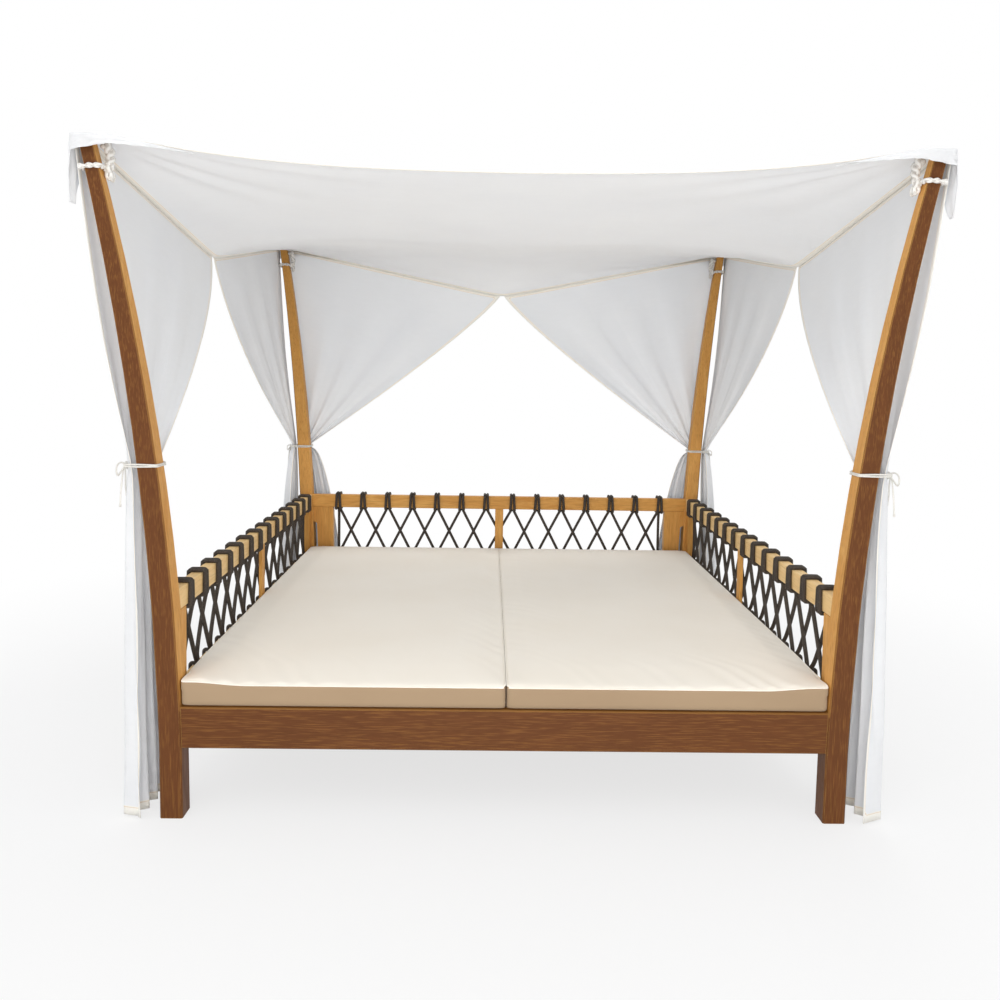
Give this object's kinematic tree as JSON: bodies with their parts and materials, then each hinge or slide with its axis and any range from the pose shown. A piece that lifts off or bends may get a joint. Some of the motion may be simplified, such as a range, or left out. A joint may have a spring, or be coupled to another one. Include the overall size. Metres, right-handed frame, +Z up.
{
  "type": "outdoor daybed with canopy",
  "caption": "Square outdoor daybed: leaning tapered wooden posts, rope-laced panels on three sides, a two-part mattress, a cloth canopy and tied curtains.",
  "frame": {"origin": "on the floor, midway between the four posts", "axes": "+Z up, +Y to the back of the bed, where the back panel is, +X to the right of a viewer who faces the open front"},
  "size_m": [2.494, 2.442, 2.0434],
  "materials": {
    "teak": "oiled, satin",
    "rope": "braided rope, matt",
    "ticking": "plain weave, matt",
    "sailcloth": "light plain weave, matt",
    "tape": "woven tape, matt"
  },
  "bodies": {
    "root": {"post_front_left": "teak", "post_front_right": "teak", "post_back_left": "teak", "post_back_right": "teak", "apron_front": "teak", "apron_back": "teak", "apron_left": "teak", "apron_right": "teak", "slat_ledger_left": "teak", "slat_ledger_right": "teak", "centre_beam": "teak", "centre_leg_front": "teak", "centre_leg_back": "teak", "slat_1": "teak", "slat_2": "teak", "slat_3": "teak", "slat_4": "teak", "slat_5": "teak", "slat_6": "teak", "slat_7": "teak", "slat_8": "teak", "slat_9": "teak", "panel_back_top_rail": "teak", "panel_back_bottom_rail": "teak", "panel_back_stile_a": "teak", "panel_back_stile_b": "teak", "panel_back_mid_stile": "teak", "lacing_back": "rope", "panel_left_top_rail": "teak", "panel_left_bottom_rail": "teak", "panel_left_stile_a": "teak", "panel_left_stile_b": "teak", "panel_left_mid_stile": "teak", "lacing_left": "rope", "panel_right_top_rail": "teak", "panel_right_bottom_rail": "teak", "panel_right_stile_a": "teak", "panel_right_stile_b": "teak", "panel_right_mid_stile": "teak", "lacing_right": "rope", "mattress_left": "ticking", "mattress_right": "ticking", "canopy": "sailcloth", "curtain_side_front_left": "sailcloth", "curtain_side_front_right": "sailcloth", "curtain_side_back_left": "sailcloth", "curtain_side_back_right": "sailcloth", "curtain_back_left": "sailcloth", "curtain_back_right": "sailcloth", "tie_front_left": "tape", "corner_strap_front_left": "tape", "tie_front_right": "tape", "corner_strap_front_right": "tape", "tie_back_left": "tape", "corner_strap_back_left": "tape", "tie_back_right": "tape", "corner_strap_back_right": "tape"}
  },
  "joints": []
}
